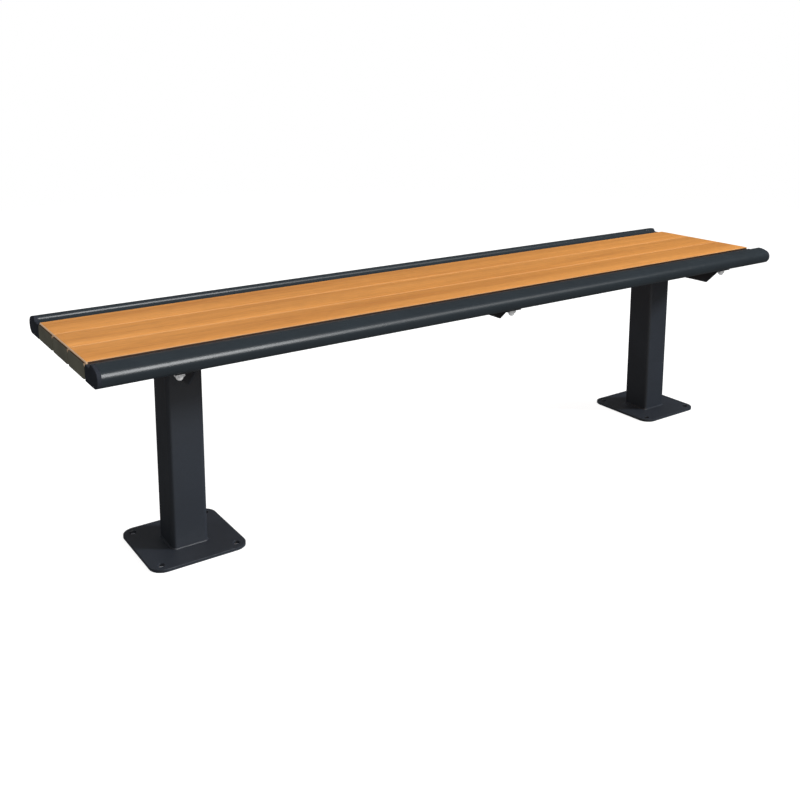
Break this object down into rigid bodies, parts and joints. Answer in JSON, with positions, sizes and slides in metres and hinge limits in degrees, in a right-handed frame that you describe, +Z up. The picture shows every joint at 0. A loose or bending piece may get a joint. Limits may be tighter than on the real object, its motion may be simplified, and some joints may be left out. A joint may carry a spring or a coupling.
{
  "type": "backless bench",
  "caption": "Backless bench: hollow wood-look planks between dark bullnose edge rails, carried by angle bearers on square posts with drilled base plates.",
  "frame": {"origin": "on the ground, under the middle of the seat", "axes": "+X along the seat, +Y from the front edge to the rear edge, +Z up"},
  "size_m": [1.8, 0.432, 0.457],
  "materials": {
    "plank_coating": "wood-look powder coat, satin",
    "rail_coating": "dark powder coat, semi-gloss",
    "frame_coating": "dark powder coat, satin",
    "rail_cap_plastic": "moulded, fine texture",
    "plank_cap_plastic": "moulded, fine texture",
    "stainless": "plain stainless steel"
  },
  "bodies": {
    "root": {"front_plank": "plank_coating", "middle_plank": "plank_coating", "rear_plank": "plank_coating", "front_plank_left_cap": "plank_cap_plastic", "front_plank_right_cap": "plank_cap_plastic", "middle_plank_left_cap": "plank_cap_plastic", "middle_plank_right_cap": "plank_cap_plastic", "rear_plank_left_cap": "plank_cap_plastic", "rear_plank_right_cap": "plank_cap_plastic", "front_rail": "rail_coating", "rear_rail": "rail_coating", "front_rail_left_cap": "rail_cap_plastic", "front_rail_right_cap": "rail_cap_plastic", "rear_rail_left_cap": "rail_cap_plastic", "rear_rail_right_cap": "rail_cap_plastic", "left_post_bearer": "frame_coating", "mid_bearer": "frame_coating", "right_post_bearer": "frame_coating", "left_bearer_weld": "frame_coating", "right_bearer_weld": "frame_coating", "left_post_top_plate": "frame_coating", "right_post_top_plate": "frame_coating", "left_post": "frame_coating", "right_post": "frame_coating", "left_base_weld": "frame_coating", "right_base_weld": "frame_coating", "left_base_plate": "frame_coating", "right_base_plate": "frame_coating", "plank_tee_bolts": "stainless", "rail_tee_bolts": "stainless", "plank_washers": "stainless", "rail_washers": "stainless", "plank_dome_nuts": "stainless", "rail_dome_nuts": "stainless"}
  },
  "joints": []
}
